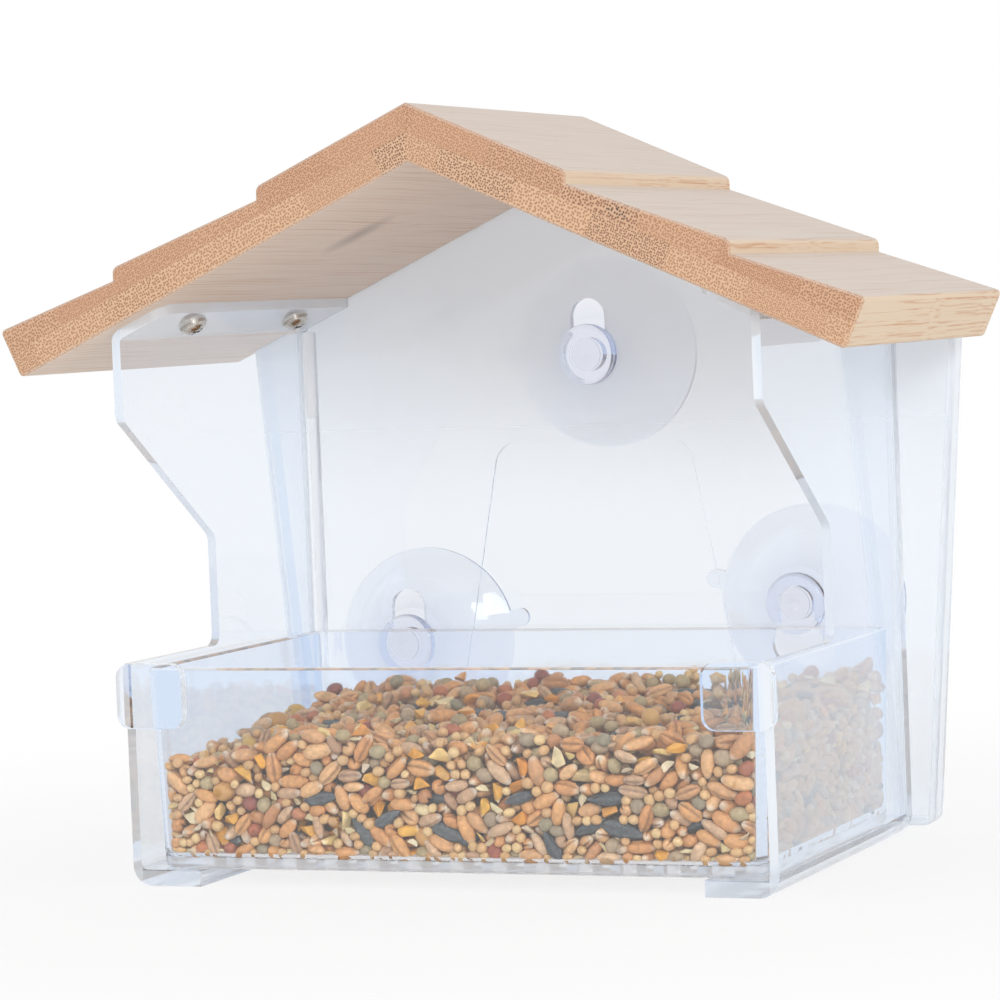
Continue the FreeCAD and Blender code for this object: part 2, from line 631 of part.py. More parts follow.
# Suction cups: knob, neck in the keyhole, thick middle and thin lip, with a pull tab
def suction_cup(label, across, height, tab_turn):
    body = new_body(label)
    knob_back = "-sizes.cup_play"
    knob_front = "(-sizes.cup_play - sizes.knob_thick)"
    shoulder = "(sizes.wall + sizes.cup_play)"
    body_back = f"({shoulder} + (sizes.cup_depth - {shoulder}) / 2)"
    disc_back = f"({knob_front} + sizes.knob_step)"
    profile = new_sketch(body, "XY_Plane", "profile")
    draw_outline(profile, [
        ("0", disc_back),
        ("sizes.knob_dimple", knob_front),
        ("sizes.knob_face", knob_front),
        ("sizes.knob_face", disc_back),
        ("sizes.knob_radius - sizes.knob_round", disc_back),
        ("sizes.knob_radius", f"{disc_back} + sizes.knob_round", "sizes.knob_round"),
        ("sizes.knob_radius", knob_back),
        ("sizes.cup_neck", knob_back),
        ("sizes.cup_neck", shoulder),
        ("sizes.cup_shoulder", shoulder),
        ("sizes.cup_body", f"{body_back} - sizes.cup_skin"),
        ("sizes.cup_radius", "sizes.cup_depth - sizes.cup_skin", "sizes.cup_radius"),
        ("sizes.cup_radius", "sizes.cup_depth"),
        ("sizes.cup_radius - sizes.cup_skin", "sizes.cup_depth"),
        ("sizes.cup_body", f"{body_back} + sizes.cup_skin", "-sizes.cup_radius"),
        ("sizes.cup_shoulder", body_back),
        ("0", body_back),
    ])
    revolve(profile, "turned")
    tab = new_sketch(body, "XZ_Plane", "tab_outline", "-(sizes.cup_depth - sizes.cup_skin)")
    root = "(sizes.cup_radius - sizes.cup_skin / 2)"
    knuckle = "(sizes.cup_radius + sizes.tab_reach - sizes.tab_half)"
    draw_outline(tab, [
        (root, "-sizes.tab_half"),
        (knuckle, "-sizes.tab_half"),
        (f"{knuckle} + sizes.tab_half", "0", "sizes.tab_half"),
        (knuckle, "sizes.tab_half", "sizes.tab_half"),
        (root, "sizes.tab_half"),
    ])
    pad(tab, "tab", "sizes.cup_skin", backwards=True)
    body.Placement = Placement(Vector(0, 0, 0), Rotation(ALONG_Y, tab_turn))
    body.setExpression("Placement.Base.x", across)
    body.setExpression("Placement.Base.y", PANEL_FRONT)
    body.setExpression("Placement.Base.z", height)
    return body


# The right cup hangs in its keyhole's narrow end, and the other two rest in their wide ends
parts = [house_shell(), seed_tray()]
for hand, side in (("left", -1), ("right", 1)):
    parts.append(roof_board(f"roof_board_{hand}", side))
    for row, place in (("front", SCREW_FRONT), ("back", SCREW_BACK)):
        parts.append(roof_screw(f"roof_screw_{hand}_{row}", side, place))
parts.append(suction_cup("suction_cup_top", "0", UPPER_KEYHOLE, 180))
parts.append(suction_cup("suction_cup_left", f"-{LOWER_KEYHOLE}", "sizes.lower_keyhole_height", -12))
parts.append(suction_cup("suction_cup_right", LOWER_KEYHOLE,
                         "sizes.lower_keyhole_height + sizes.keyhole_rise", 192))
document.recompute()

# Every object has to be sound before anything is written
for item in document.Objects:
    if "Invalid" in item.State or "Error" in item.State:
        raise RuntimeError(f"{item.Name} failed: {item.State}")
for part in parts:
    if part.Shape.isNull() or not part.Shape.isValid():
        raise RuntimeError(f"{part.Label} has no sound shape")
    if len(part.Shape.Solids) != 1:
        raise RuntimeError(f"{part.Label} is not one solid")

os.makedirs("parts", exist_ok=True)
for part in parts:
    part.Shape.exportStep(f"parts/{part.Label}.step")
    print(part.Label, round(part.Shape.Volume / 1000, 2), "cm3")
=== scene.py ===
# Window bird feeder: a clear moulded house on suction cups, with a bamboo roof and a lift-out tray of seed.
import math

import bmesh
import bpy
import numpy as np
from mathutils import Matrix, Vector


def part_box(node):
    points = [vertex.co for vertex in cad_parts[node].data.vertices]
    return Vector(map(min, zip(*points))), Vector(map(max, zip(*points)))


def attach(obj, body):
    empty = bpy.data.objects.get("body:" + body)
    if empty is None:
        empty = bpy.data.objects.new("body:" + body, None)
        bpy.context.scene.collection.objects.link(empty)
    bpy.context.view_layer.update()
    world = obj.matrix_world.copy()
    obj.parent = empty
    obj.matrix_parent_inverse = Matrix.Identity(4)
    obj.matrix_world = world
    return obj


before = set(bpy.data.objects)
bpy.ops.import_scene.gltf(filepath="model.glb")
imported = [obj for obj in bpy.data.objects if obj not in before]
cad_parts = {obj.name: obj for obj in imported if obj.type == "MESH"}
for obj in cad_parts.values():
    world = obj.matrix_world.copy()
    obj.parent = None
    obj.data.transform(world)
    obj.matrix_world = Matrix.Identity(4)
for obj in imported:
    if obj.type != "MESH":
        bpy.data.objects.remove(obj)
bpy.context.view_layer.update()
scene = bpy.context.scene
scene.view_settings.view_transform = "Standard"


# House: the back panel, side walls, roof flanges, tray ledges and front hooks in one moulding.
# It is clear polystyrene, injection moulded in a polished steel tool.
# The boards, the tray and the cups are all fixed to it or held by it.
MM = 0.001
SMUDGED = 3
FLOW_WAVE = 35 * MM
FLOW_HEIGHT = 0.05 * MM
MANY_WALLS = 6.5


def linear(code):
    """Linear colour of an sRGB hex value."""
    channels = [int(code[start:start + 2], 16) / 255 for start in (1, 3, 5)]
    return [c / 12.92 if c <= 0.04045 else ((c + 0.055) / 1.055) ** 2.4 for c in channels] + [1.0]


def new_material(name):
    """A material with no nodes yet."""
    material = bpy.data.materials.new(name)
    material.use_nodes = True
    material.node_tree.nodes.clear()
    return material


def node(owner, kind, sockets=None, **settings):
    """Adds one shader node: its settings, then each socket's value or the output linked to it."""
    tree = owner.node_tree
    made = tree.nodes.new("ShaderNode" + kind)
    for name, value in settings.items():
        setattr(made, name, value)
    for socket, value in (sockets or {}).items():
        if isinstance(value, bpy.types.NodeSocket):
            tree.links.new(value, made.inputs[socket])
        else:
            made.inputs[socket].default_value = value
    return made


def clear_moulding(
        name, tint, edge_tint, edge_depth, index, clarity, polish, smudge_mm, turns, milky=None):
    """Clear plastic: the tint of one wall, and a deeper one along the edges, per edge_depth in mm.

    Light that has turned more often than turns goes straight on.
    milky(material, place) gives a clarity that differs from place to place.
    """
    material = new_material(name)
    place = node(material, "TexCoord").outputs["Object"]
    # handling leaves rougher smudges, and the melt's flow leaves long low waves
    smudge = node(material, "TexNoise", {"Vector": place, "Scale": 1 / (smudge_mm * MM), "Detail": 3.0})
    rough = node(material, "MapRange", {
        "Value": smudge.outputs["Fac"], "From Min": 0.4, "From Max": 0.75,
        "To Min": polish, "To Max": SMUDGED * polish})
    flow = node(material, "TexNoise", {"Vector": place, "Scale": 1 / FLOW_WAVE, "Detail": 1.0})
    bump = node(material, "Bump", {"Height": flow.outputs["Fac"], "Distance": FLOW_HEIGHT})
    body = node(material, "BsdfPrincipled", {
        "Base Color": linear(tint), "Roughness": rough.outputs[0], "IOR": index,
        "Transmission Weight": clarity, "Normal": bump.outputs[0]})
    if milky:
        material.node_tree.links.new(milky(material, place), body.inputs["Transmission Weight"])
    # lamps shine through, and light that has run on inside a wall for long comes out of it
    ray = node(material, "LightPath").outputs
    long_way = node(material, "Math", {
        0: ray["Ray Depth"], 1: turns + 0.5}, operation="GREATER_THAN").outputs[0]
    few_walls = node(material, "Math", {
        0: ray["Transparent Depth"], 1: MANY_WALLS}, operation="LESS_THAN").outputs[0]
    trapped = node(material, "Math", {0: long_way, 1: few_walls}, operation="MULTIPLY").outputs[0]
    passing = node(material, "Math", {0: ray["Is Shadow Ray"], 1: trapped}, operation="MAXIMUM").outputs[0]
    straight = node(material, "BsdfTransparent", {"Color": linear(tint)})
    surface = node(material, "MixShader", {0: passing, 1: body.outputs[0], 2: straight.outputs[0]})
    inside = node(material, "VolumeAbsorption", {
        "Color": linear(edge_tint), "Density": 1 / (edge_depth * MM)})
    node(material, "OutputMaterial", {"Surface": surface.outputs[0], "Volume": inside.outputs[0]})
    return material


def finish_node(name, material):
    """Gives one CAD node its finish."""
    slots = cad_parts[name].data.materials
    slots.clear()
    slots.append(material)


# where the clarity changes; the top cup's knob stands KNOB_PROUD out of the panel's front
KNOB_PROUD = 2.9 * MM
WALL_INSIDE = 73.3 * MM
FLANGE_LEVEL = 100 * MM
FOOT_TOP = 3.4 * MM
CORNER_DEPTH = 4 * MM
SHADE_HAZE_BOTTOM = 72 * MM
SHADE_HAZE_TOP = 124 * MM
panel_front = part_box("suction_cup_top")[0][1] + KNOB_PROUD

# how clear each place is, and how much of the full painted highlight its edges, corners and feet take
WALL_CLARITY = 0.98
PANEL_CLARITY = 0.91
SHADE_HAZE_CLARITY = 0.52
HIGHLIGHT_CLARITY = 0.34
CORNER_HIGHLIGHT = 0.5
FRONT_HIGHLIGHT = 0.75
FOOT_HIGHLIGHT = 0.55

# a surface faces sideways or endways where its normal leans that way by more than this
SIDEWAYS = 0.5
ENDWAYS = 0.96


def milky_house(material, place):
    """Clarity of the house: lower at its panel's top, as a painted shade, and on edges and corners and in
    its flanges and feet, as painted highlights.
    """
    across, back, up = node(material, "SeparateXYZ", {0: place}).outputs
    normal = node(material, "NewGeometry").outputs["Normal"]
    facing = node(material, "SeparateXYZ", {0: normal}).outputs
    sideways = node(material, "Math", {0: facing["X"]}, operation="ABSOLUTE").outputs[0]
    endways = node(material, "Math", {0: facing["Y"]}, operation="ABSOLUTE").outputs[0]
    from_middle = node(material, "Math", {0: across}, operation="ABSOLUTE").outputs[0]
    in_wall = node(material, "Math", {0: from_middle, 1: WALL_INSIDE}, operation="GREATER_THAN").outputs[0]
    in_front = node(material, "Math", {0: back, 1: panel_front - MM}, operation="LESS_THAN").outputs[0]

    # painted shade: the panel grows milky towards its top, so that it turns grey in the roof's shade
    shade_haze = node(material, "MapRange", {
        "Value": up, "From Min": SHADE_HAZE_BOTTOM, "From Max": SHADE_HAZE_TOP,
        "To Min": PANEL_CLARITY, "To Max": SHADE_HAZE_CLARITY}, interpolation_type="SMOOTHSTEP").outputs[0]
    flat = node(material, "MapRange", {
        "Value": in_front, "To Min": shade_haze, "To Max": WALL_CLARITY}).outputs[0]

    # painted highlights: the walls' edges, the corners at the panel, the flanges and the feet are made
    # milky, so that they show pale like bright highlights and reflections
    edge = node(material, "Math", {0: sideways, 1: SIDEWAYS}, operation="LESS_THAN").outputs[0]
    wall_edge = node(material, "Math", {0: edge, 1: in_wall}, operation="MULTIPLY").outputs[0]
    front_edge = node(material, "Math", {0: wall_edge, 1: in_front}, operation="MULTIPLY").outputs[0]
    foot = node(material, "Math", {0: up, 1: FOOT_TOP}, operation="LESS_THAN").outputs[0]
    near_panel = node(material, "Math", {
        0: back, 1: panel_front - CORNER_DEPTH}, operation="GREATER_THAN").outputs[0]
    slanted = node(material, "Math", {0: endways, 1: ENDWAYS}, operation="LESS_THAN").outputs[0]
    panel_edge = node(material, "Math", {0: near_panel, 1: slanted}, operation="MULTIPLY").outputs[0]
    high = node(material, "Math", {0: up, 1: FLANGE_LEVEL}, operation="GREATER_THAN").outputs[0]
    high_front = node(material, "Math", {0: high, 1: in_front}, operation="MULTIPLY").outputs[0]
    flange = node(material, "Math", {0: high_front, 1: in_wall}, operation="GREATER_THAN").outputs[0]

    corner_highlight = node(material, "Math", {
        0: panel_edge, 1: CORNER_HIGHLIGHT}, operation="MULTIPLY").outputs[0]
    front_highlight = node(material, "Math", {
        0: front_edge, 1: FRONT_HIGHLIGHT}, operation="MULTIPLY").outputs[0]
    edge_highlight = node(material, "Math", {0: front_highlight, 1: corner_highlight}, operation="MAXIMUM").outputs[0]
    foot_highlight = node(material, "Math", {0: foot, 1: FOOT_HIGHLIGHT}, operation="MULTIPLY").outputs[0]
    edge_and_foot_highlight = node(material, "Math", {0: edge_highlight, 1: foot_highlight}, operation="MAXIMUM").outputs[0]
    painted_highlight = node(material, "Math", {0: edge_and_foot_highlight, 1: flange}, operation="MAXIMUM").outputs[0]
    return node(material, "MapRange", {"Value": painted_highlight, "To Min": flat, "To Max": HIGHLIGHT_CLARITY}).outputs[0]


# Polystyrene moulded in a polished tool: glass clear and bright, a faint blue cast, deeper along its edges.
# The panel's top is made a little milky so that the roof's shade greys it: a painted shade.
# The flanges, the feet and the walls' edges are made milky so that they show pale: painted highlights.
clear_styrene = clear_moulding(
    "moulded_clear_styrene", tint="#F5F9FE", edge_tint="#C4CCDC", edge_depth=200, index=1.55,
    clarity=WALL_CLARITY, polish=0.012, smudge_mm=18, turns=3, milky=milky_house)
finish_node("house_shell", clear_styrene)


# Suction cups: three soft cups, each one moulding with its knob, neck and pull tab.
# They are plasticised vinyl, moulded in smooth tools, and grip the glass by bending flat.
# Each neck sits in a keyhole of the panel.
cups = ("suction_cup_top", "suction_cup_left", "suction_cup_right")

# Soft vinyl: clear but a little cloudy beside the house, with a lavender cast and a duller gloss.
clear_vinyl = clear_moulding(
    "moulded_soft_vinyl", tint="#FAFBFE", edge_tint="#BFC6DA", edge_depth=20, index=1.52,
    clarity=0.98, polish=0.025, smudge_mm=6, turns=3)
for cup in cups:
    finish_node(cup, clear_vinyl)


# Roof boards: two stepped boards, mitred at the ridge, with their fibres running front to back.
# Each is glued up from bamboo strips in two layers, planed to its steps, sanded and left bare.
# They are screwed on from below through the house's flanges.
ROOF_SLOPE = math.radians(24.2)
BOARD_THICK = 11.5
STRIP_WIDTH = 18.5
FIRST_STRIP = 6.3
LAYER_SHIFT = 0.45 * STRIP_WIDTH
ridge_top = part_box("roof_board_right")[1][2]
ridge_underside = ridge_top - BOARD_THICK * MM / math.cos(ROOF_SLOPE)

# end grain in mm: the bundles' spacing and width for their height, each strip's own shift, and a dark knot
WIDE_SPACING = 0.64
CLOSE_SPACING = 0.42
BUNDLE_WIDTH = 0.88
STRIP_SHUFFLE = 37.0
KNOT_EDGE = 1.6
KNOT_HEART = 0.7
KNOT_WIDTH = 2.5

# long grain in mm: the streaks, how they wander, and the size of a joint's smudge
STREAK_WIDTH = 0.55
STREAK_LENGTH = 70
WANDER = 2.5
WANDER_WAVE = 35
JOINT_SIZE = (10, 6, 4)
GRAIN_DEPTH = 0.06 * MM


def bamboo_board(name, side, seed, joint, knot):
    """Glued bamboo strips. joint and knot are marks: mm across from the ridge, along, and up."""
    material = new_material(name)
    place = node(material, "TexCoord").outputs["Object"]
    ridge = node(material, "VectorMath", {0: place, 1: (0, 0, ridge_underside)}, operation="SUBTRACT")
    level = node(material, "VectorRotate", {
        "Vector": ridge.outputs[0], "Angle": -side * ROOF_SLOPE}, rotation_type="Y_AXIS")
    scaled = node(material, "VectorMath", {
        0: level.outputs[0], 1: (side / MM, 1 / MM, 1 / MM)}, operation="MULTIPLY")
    across, along, up = node(material, "SeparateXYZ", {0: scaled.outputs[0]}).outputs

    # strips: the upper layer's joints fall about half a strip away from the lower layer's
    upper = node(material, "Math", {0: up, 1: BOARD_THICK / 2}, operation="GREATER_THAN").outputs[0]
    moved = node(material, "Math", {
        0: upper, 1: LAYER_SHIFT, 2: across}, operation="MULTIPLY_ADD").outputs[0]
    from_first = node(material, "Math", {0: moved, 1: FIRST_STRIP}, operation="SUBTRACT").outputs[0]
    counted = node(material, "Math", {0: from_first, 1: STRIP_WIDTH}, operation="DIVIDE").outputs[0]
    strip = node(material, "Math", {0: counted}, operation="FLOOR").outputs[0]
    which = node(material, "CombineXYZ", {0: strip, 1: upper, 2: float(seed)}).outputs[0]
    strip_chance = node(material, "TexWhiteNoise", {"Vector": which}, noise_dimensions="3D")
    tone = strip_chance.outputs["Value"]
    more_chance = node(material, "SeparateColor", {0: strip_chance.outputs["Color"]}).outputs
    spread = more_chance["Red"]
    darkness = more_chance["Green"]

    # end grain: bundles of vessels cut across, 0.42 to 0.64 mm apart and taller than wide
    bundle_x = node(material, "Math", {
        0: tone, 1: STRIP_SHUFFLE, 2: across}, operation="MULTIPLY_ADD").outputs[0]
    bundle_y = node(material, "Math", {0: up, 1: BUNDLE_WIDTH}, operation="MULTIPLY").outputs[0]
    bundle_place = node(material, "CombineXYZ", {0: bundle_x, 1: bundle_y}).outputs[0]
    per_mm = node(material, "MapRange", {
        "Value": spread, "To Min": 1 / WIDE_SPACING, "To Max": 1 / CLOSE_SPACING}).outputs[0]
    bundles = node(material, "TexVoronoi", {
        "Vector": bundle_place, "Scale": per_mm, "Randomness": 0.65}, voronoi_dimensions="2D")
    dots = node(material, "MapRange", {
        "Value": bundles.outputs["Distance"], "From Min": 0.52, "From Max": 0.12},
        interpolation_type="SMOOTHSTEP").outputs[0]
    spot_place = node(material, "CombineXYZ", {0: across, 1: up}).outputs[0]
    knot_way = node(material, "VectorMath", {
        0: spot_place, 1: (knot[0], knot[1], 0)}, operation="SUBTRACT").outputs[0]
    knot_flat = node(material, "VectorMath", {
        0: knot_way, 1: (1 / KNOT_WIDTH, 1.0, 0)}, operation="MULTIPLY").outputs[0]
    knot_far = node(material, "VectorMath", {0: knot_flat}, operation="LENGTH").outputs["Value"]
    knotty = node(material, "MapRange", {
        "Value": knot_far, "From Min": KNOT_EDGE, "From Max": KNOT_HEART}).outputs[0]
    half_tone = node(material, "Math", {0: tone, 1: 0.5}, operation="MULTIPLY").outputs[0]
    layer_tone = node(material, "Math", {
        0: upper, 1: 0.5, 2: half_tone}, operation="MULTIPLY_ADD").outputs[0]
    pith = node(material, "Mix", {
        0: layer_tone, 6: linear("#DFB997"), 7: linear("#D0A182")}, data_type="RGBA").outputs[2]
    few_dark = node(material, "Math", {0: darkness, 1: 3.0}, operation="POWER").outputs[0]
    vessel = node(material, "Mix", {
        0: few_dark, 6: linear("#B07E5C"), 7: linear("#7A503A")}, data_type="RGBA").outputs[2]
    dark_vessel = node(material, "Mix", {
        0: knotty, 6: vessel, 7: linear("#3B332F")}, data_type="RGBA").outputs[2]
    end_grain = node(material, "Mix", {0: dots, 6: pith, 7: dark_vessel}, data_type="RGBA").outputs[2]

    # long grain: the same bundles seen lengthwise, as streaks under a millimetre wide
    wave = node(material, "TexNoise", {
        "W": along, "Scale": 1 / WANDER_WAVE, "Detail": 1.0}, noise_dimensions="1D").outputs["Fac"]
    wander = node(material, "Math", {0: wave, 1: WANDER, 2: across}, operation="MULTIPLY_ADD").outputs[0]
    line = node(material, "CombineXYZ", {0: wander, 1: up, 2: along}).outputs[0]
    drawn_out = node(material, "VectorMath", {
        0: line, 1: (1 / STREAK_WIDTH, 1 / STREAK_WIDTH, 1 / STREAK_LENGTH)},
        operation="MULTIPLY").outputs[0]
    streak = node(material, "TexNoise", {
        "Vector": drawn_out, "Scale": 1.0, "Detail": 4.0, "Roughness": 0.6}).outputs["Fac"]
    broad = node(material, "MapRange", {
        "Value": streak, "From Min": 0.48, "From Max": 0.72}, interpolation_type="SMOOTHSTEP").outputs[0]
    # the tops' pale, cool tone is partly the wood's own and partly a painted sheen, and the undersides are
    # painted lighter than the tops, as painted light under the roof
    flat_grain_and_sheen = node(material, "Mix", {
        0: broad, 6: linear("#D9CABE"), 7: linear("#CFB8A6")}, data_type="RGBA").outputs[2]
    edge_grain = node(material, "Mix", {
        0: broad, 6: linear("#E4CCB0"), 7: linear("#CD986E")}, data_type="RGBA").outputs[2]
    painted_light_under_grain = node(material, "Mix", {
        0: broad, 6: linear("#EDD8C6"), 7: linear("#DCBCA2")}, data_type="RGBA").outputs[2]

    # a culm joint crosses one strip as a dark smudge
    joint_way = node(material, "VectorMath", {
        0: scaled.outputs[0], 1: joint}, operation="SUBTRACT").outputs[0]
    joint_flat = node(material, "VectorMath", {
        0: joint_way, 1: [1 / size for size in JOINT_SIZE]}, operation="MULTIPLY").outputs[0]
    joint_far = node(material, "VectorMath", {0: joint_flat}, operation="LENGTH").outputs["Value"]
    joint_edge = node(material, "Math", {
        0: streak, 1: 0.8, 2: joint_far}, operation="MULTIPLY_ADD").outputs[0]
    smudge = node(material, "MapRange", {
        "Value": joint_edge, "From Min": 1.5, "From Max": 0.5, "To Max": 0.45}).outputs[0]

    # which way the surface faces, from its normal in the level board: ends and edges show their cut, and
    # undersides take a painted lighter colour
    normal = node(material, "NewGeometry").outputs["Normal"]
    facing = node(material, "VectorRotate", {
        "Vector": normal, "Angle": -side * ROOF_SLOPE}, rotation_type="Y_AXIS").outputs[0]
    facing_across, facing_along, facing_up = node(material, "SeparateXYZ", {0: facing}).outputs
    sideways = node(material, "Math", {0: facing_across}, operation="ABSOLUTE").outputs[0]
    endways = node(material, "Math", {0: facing_along}, operation="ABSOLUTE").outputs[0]
    is_edge = node(material, "MapRange", {
        "Value": sideways, "From Min": 0.2, "From Max": 0.7}).outputs[0]
    is_end = node(material, "MapRange", {
        "Value": endways, "From Min": 0.55, "From Max": 0.8}).outputs[0]
    is_under = node(material, "Math", {0: facing_up, 1: -0.6}, operation="LESS_THAN").outputs[0]
    faces = node(material, "Mix", {
        0: is_under, 6: flat_grain_and_sheen, 7: painted_light_under_grain}, data_type="RGBA").outputs[2]
    long_grain = node(material, "Mix", {
        0: is_edge, 6: faces, 7: edge_grain}, data_type="RGBA").outputs[2]
    jointed = node(material, "Mix", {
        0: smudge, 6: long_grain, 7: linear("#6E5A4E")}, data_type="RGBA").outputs[2]
    colour = node(material, "Mix", {0: is_end, 6: jointed, 7: end_grain}, data_type="RGBA").outputs[2]

    relief = node(material, "Mix", {0: is_end, 2: streak, 3: dots}, data_type="FLOAT").outputs[0]
    bump = node(material, "Bump", {"Height": relief, "Strength": 0.5, "Distance": GRAIN_DEPTH}, invert=True)
    rough = node(material, "MapRange", {"Value": streak, "To Min": 0.42, "To Max": 0.62}).outputs[0]
    wood = node(material, "BsdfPrincipled", {
        "Base Color": colour, "Roughness": rough, "IOR": 1.5, "Normal": bump.outputs[0]})
    node(material, "OutputMaterial", {"Surface": wood.outputs[0]})
    return material


# Sanded bamboo: dotted peach end grain, pale satin faces and cream edges streaked with orange.
# The faces' pale tone is partly a painted sheen, and the undersides are painted lighter against the shade
# under the roof.
finish_node("roof_board_left", bamboo_board(
    "sanded_bamboo_left", side=-1, seed=5, joint=(34.0, -16.0, 0.0), knot=(70.0, 40.0)))
finish_node("roof_board_right", bamboo_board(
    "sanded_bamboo_right", side=1, seed=8, joint=(18.0, 30.0, 0.0), knot=(48.2, 7.7)))


# Roof screws: four pan-head screws up through the flanges, with cross recesses.
# They are steel, cold headed, thread rolled and nickel plated in a barrel.
TUMBLE_MARK = 0.5 * MM
TUMBLE_DEPTH = 0.02 * MM
screws = [f"roof_screw_{side}_{end}" for side in ("left", "right") for end in ("front", "back")]

# Barrel nickel: warm grey metal with soft bright highlights, a little dulled on the head.
barrel_nickel = new_material("barrel_plated_nickel")
screw_place = node(barrel_nickel, "TexCoord").outputs["Object"]
tumbled = node(barrel_nickel, "TexNoise", {
    "Vector": screw_place, "Scale": 1 / TUMBLE_MARK, "Detail": 3.0})
plating = node(barrel_nickel, "MapRange", {
    "Value": tumbled.outputs["Fac"], "From Min": 0.3, "From Max": 0.7, "To Min": 0.18, "To Max": 0.36})
tumble_bump = node(barrel_nickel, "Bump", {
    "Height": tumbled.outputs["Fac"], "Strength": 0.3, "Distance": TUMBLE_DEPTH})
nickel = node(barrel_nickel, "BsdfPrincipled", {
    "Base Color": linear("#CBC5BC"), "Metallic": 1.0, "Roughness": plating.outputs[0],
    "Normal": tumble_bump.outputs[0]})
node(barrel_nickel, "OutputMaterial", {"Surface": nickel.outputs[0]})
for screw in screws:
    finish_node(screw, barrel_nickel)


# Seed tray: a clear open box with a slotted floor that lets rain out, lifted over the front hooks.
# It is the same clear polystyrene as the house, moulded with a little draft.
TRAY_FLOOR = 2.4
FLOOR_MARGIN = 0.2
RIM_MARGIN = 0.4
TRAY_CLARITY = 0.99
MATT_CLARITY = 0.6
tray_low, tray_high = [np.array(corner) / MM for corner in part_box("seed_tray")]
floor_top = tray_low[2] + TRAY_FLOOR


def milky_tray(material, place):
    """Clarity of the tray: its floor and the top of its rim are matt from the tool."""
    up = node(material, "SeparateXYZ", {0: place}).outputs["Z"]
    in_floor = node(material, "Math", {
        0: up, 1: (floor_top + FLOOR_MARGIN) * MM}, operation="LESS_THAN").outputs[0]
    in_rim = node(material, "Math", {
        0: up, 1: (tray_high[2] - RIM_MARGIN) * MM}, operation="GREATER_THAN").outputs[0]
    matt = node(material, "Math", {0: in_floor, 1: in_rim}, operation="MAXIMUM").outputs[0]
    return node(material, "MapRange", {
        "Value": matt, "To Min": TRAY_CLARITY, "To Max": MATT_CLARITY}).outputs[0]


# Tray styrene: as clear as the house, but matt on its floor and the top of its rim.
tray_styrene = clear_moulding(
    "moulded_tray_styrene", tint="#F9FBFE", edge_tint="#C4CCDC", edge_depth=130, index=1.55,
    clarity=TRAY_CLARITY, polish=0.015, smudge_mm=12, turns=3, milky=milky_tray)
finish_node("seed_tray", tray_styrene)


# Seed mix: wheat, millet, sorghum, vetch, sunflower, cracked maize, chips of husk and a few peas.
# It is poured into the tray and lies loose, deepest at the back.
# Every grain is its own closed mesh, and each kind is one piece.
MIX_SEED = 20
SKIN_DEPTH = 0.08 * MM
CHIP_LEAST = 0.75
chance = np.random.default_rng(MIX_SEED)
mix = []


def turned_grain(turns, rings, outline):
    """Points, faces and unmarked grooves of a grain along x from -1 to 1, with radius outline(x).

    turns are the degrees at which points stand round it.
    """
    around = len(turns)
    turns = [math.radians(turn) for turn in turns]
    stations = [-math.cos(math.pi * (ring + 1) / (rings + 1)) for ring in range(rings)]
    points = [(-1.0, 0.0, 0.0)]
    for x in stations:
        points += [(x, outline(x) * math.cos(turn), outline(x) * math.sin(turn)) for turn in turns]
    points.append((1.0, 0.0, 0.0))
    faces = []
    last = len(points) - 1
    for step in range(around):
        after = (step + 1) % around
        faces.append((0, 1 + after, 1 + step))
        for ring in range(rings - 1):
            low = 1 + ring * around
            high = low + around
            faces.append((low + step, low + after, high + after, high + step))
        low = 1 + (rings - 1) * around
        faces.append((low + step, low + after, last))
    return np.array(points), faces, np.zeros(len(points))


def broken_piece(corners, roundness):
    """Points, faces and unmarked grooves of a chip: a hull round random points, with worn edges."""
    spots = chance.normal(size=(corners, 3))
    spots /= np.linalg.norm(spots, axis=1)[:, None]
    spots *= chance.uniform(CHIP_LEAST, 1.0, (corners, 1))
    shape = bmesh.new()
    for spot in spots:
        shape.verts.new(spot)
    hull = bmesh.ops.convex_hull(shape, input=shape.verts)
    loose = [v for v in hull["geom_interior"] if isinstance(v, bmesh.types.BMVert)]
    bmesh.ops.delete(shape, geom=loose, context="VERTS")
    bmesh.ops.bevel(
        shape, geom=shape.edges[:], offset=roundness, segments=1, affect="EDGES", clamp_overlap=True)
    shape.verts.index_update()
    points = np.array([v.co for v in shape.verts])
    faces = [tuple(v.index for v in face.verts) for face in shape.faces]
    shape.free()
    points /= np.maximum(np.linalg.norm(points, axis=1), 1)[:, None]
    return points, faces, np.zeros(len(points))


